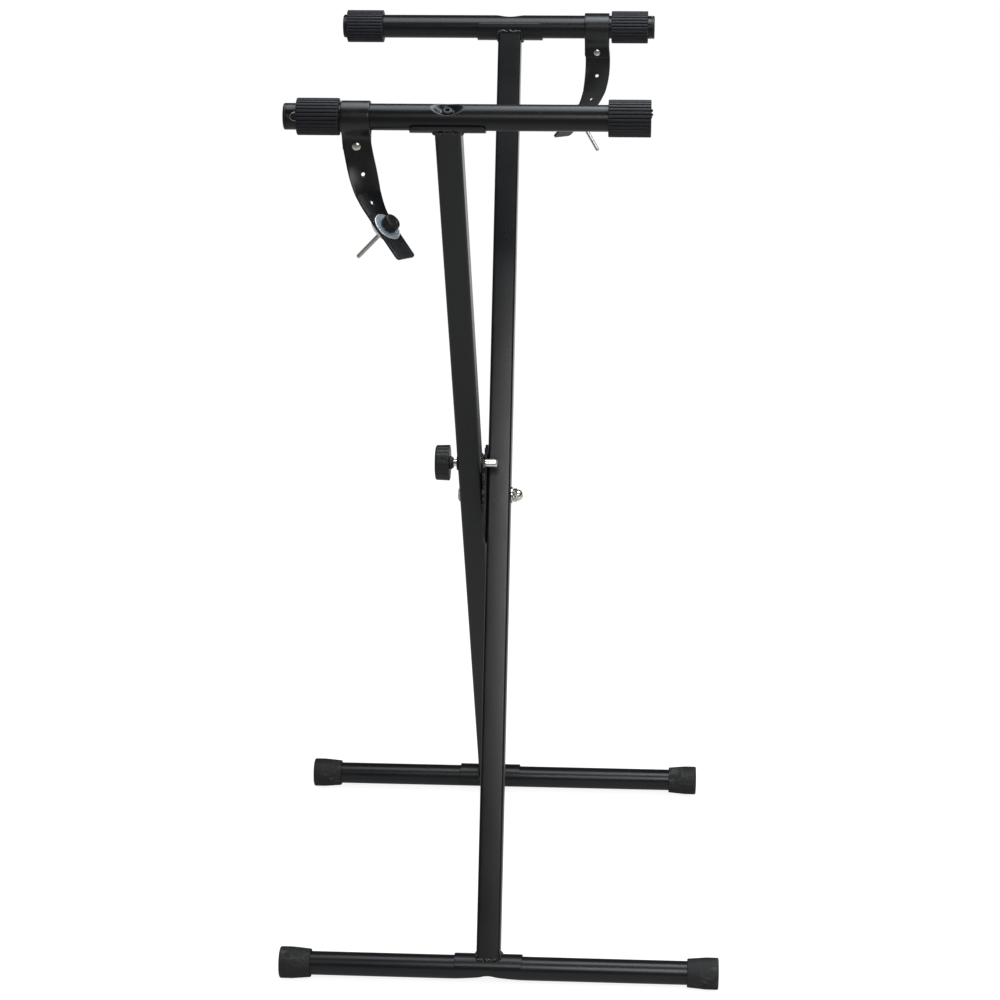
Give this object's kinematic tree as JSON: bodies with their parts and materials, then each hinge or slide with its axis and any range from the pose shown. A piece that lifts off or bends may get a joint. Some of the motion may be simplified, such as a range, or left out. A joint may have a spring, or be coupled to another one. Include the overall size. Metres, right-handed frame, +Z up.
{
  "type": "folding keyboard stand",
  "caption": "Folding X-frame keyboard stand with ribbed support sleeves, pull-pin locking disc and keyboard straps.",
  "frame": {"origin": "on the floor, under the middle of the footprint", "axes": "+Z up, +X along the bars towards the right seen from the front, +Y towards the rear"},
  "size_m": [0.496, 0.5601, 0.961],
  "materials": {
    "black_paint": "satin black powder coat",
    "rubber": "matte moulded rubber",
    "zinc": "zinc plated",
    "black_steel": "black oxide",
    "black_nylon": "moulded, fine grain",
    "white_nylon": "moulded",
    "strap_band": "moulded band, soft sheen",
    "chrome": "polished plating"
  },
  "bodies": {
    "leg_a": {"leg_a_tube": "black_paint", "leg_a_crush_sleeve": "zinc", "front_top_saddle": "black_paint", "front_top_bar": "black_paint", "front_top_bolt": "black_steel", "front_top_nut": "zinc", "front_top_plug_outer": "black_nylon", "front_top_plug_inner": "black_nylon", "front_top_sleeve_outer": "rubber", "front_top_sleeve_inner": "rubber", "rear_base_saddle": "black_paint", "rear_base_bar": "black_paint", "rear_base_bolt": "black_steel", "rear_base_nut": "zinc", "rear_base_foot_outer": "rubber", "rear_base_foot_inner": "rubber", "pivot_bolt": "zinc", "pivot_friction_washer": "black_nylon", "pivot_washer": "chrome", "pivot_acorn_nut": "chrome", "pin_guide_bushing": "black_nylon", "pin_grip_bushing": "black_nylon", "pin_spring": "zinc"},
    "leg_b": {"leg_b_tube": "black_paint", "leg_b_crush_sleeve": "zinc", "rear_top_saddle": "black_paint", "rear_top_bar": "black_paint", "rear_top_bolt": "black_steel", "rear_top_nut": "zinc", "rear_top_plug_outer": "black_nylon", "rear_top_plug_inner": "black_nylon", "rear_top_sleeve_outer": "rubber", "rear_top_sleeve_inner": "rubber", "front_base_saddle": "black_paint", "front_base_bar": "black_paint", "front_base_bolt": "black_steel", "front_base_nut": "zinc", "front_base_foot_outer": "rubber", "front_base_foot_inner": "rubber", "locking_disc": "black_steel", "disc_rivet_upper": "zinc", "disc_rivet_lower": "zinc"},
    "pull_pin": {"pull_pin": "chrome", "pull_knob": "black_nylon"},
    "front_strap": {"front_strap": "strap_band", "front_strap_rivet": "chrome", "front_screw_washer": "zinc", "front_screw_pad": "white_nylon"},
    "rear_strap": {"rear_strap": "strap_band", "rear_strap_rivet": "chrome", "rear_screw_washer": "zinc", "rear_screw_pad": "white_nylon"},
    "front_screw": {"front_screw_knob": "black_nylon", "front_screw_rod": "zinc"},
    "rear_screw": {"rear_screw_knob": "black_nylon", "rear_screw_rod": "zinc"}
  },
  "joints": [
    {"name": "leg_fold", "type": "hinge", "parent": "leg_a", "child": "leg_b", "pos_m": [-0.014, 0, 0.47271], "axis": [1, 0, 0], "range_deg": [-48, 48]},
    {"name": "pin_pull", "type": "slide", "parent": "leg_a", "child": "pull_pin", "axis": [-1, 0, 0], "range_m": [0, 0.0155], "stiffness_N_per_m": 600, "springref_m": -0.01, "deforming": ["pin_spring"]},
    {"name": "front_strap_swing", "type": "hinge", "parent": "leg_a", "child": "front_strap", "pos_m": [-0.11695, -0.23871, 0.94322], "axis": [1, 0, 0], "range_deg": [-170, 60]},
    {"name": "rear_strap_swing", "type": "hinge", "parent": "leg_b", "child": "rear_strap", "pos_m": [0.09805, 0.23871, 0.94322], "axis": [-1, 0, 0], "range_deg": [-170, 60]},
    {"name": "front_screw_turn", "type": "hinge", "parent": "front_strap", "child": "front_screw", "pos_m": [-0.08891, -0.25392, 0.83817], "axis": [0.6434, -0.3033, 0.7029], "continuous": true},
    {"name": "rear_screw_turn", "type": "hinge", "parent": "rear_strap", "child": "rear_screw", "pos_m": [0.07751, 0.25392, 0.83817], "axis": [-0.484, 0.5187, 0.7048], "continuous": true}
  ]
}
